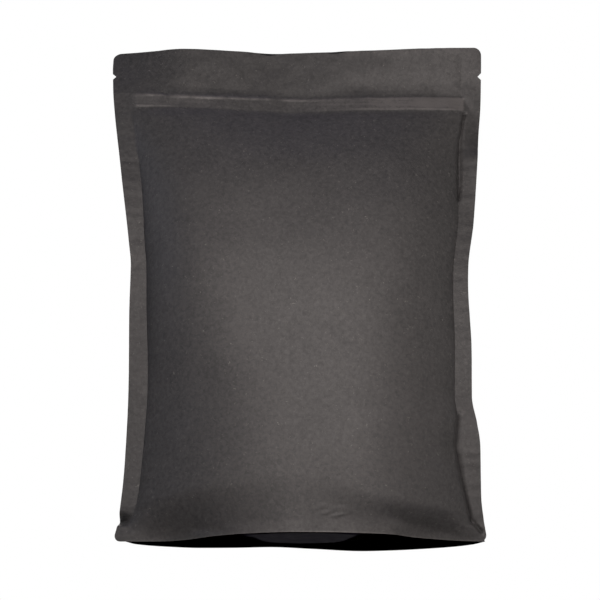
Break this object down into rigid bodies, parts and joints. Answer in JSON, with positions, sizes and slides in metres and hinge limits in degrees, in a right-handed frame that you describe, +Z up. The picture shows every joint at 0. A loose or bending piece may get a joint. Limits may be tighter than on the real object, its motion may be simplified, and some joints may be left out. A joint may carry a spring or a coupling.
{
  "type": "kraft stand-up pouch",
  "caption": "Filled, shut stand-up pouch of black kraft paper laminate, with side seals, tear notches, a zip band and an opened bottom gusset.",
  "frame": {"origin": "on the floor under the middle of the pouch: the centre of the bottom of its box", "axes": "+X to the right of the front panel, +Y from the front panel to the back one, +Z up to the mouth"},
  "size_m": [0.19, 0.058, 0.2555],
  "materials": {
    "black_kraft": "matt black kraft paper face of a laminate, fibrous grain with a soft sheen"
  },
  "bodies": {
    "root": {"pouch": "black_kraft"}
  },
  "joints": []
}
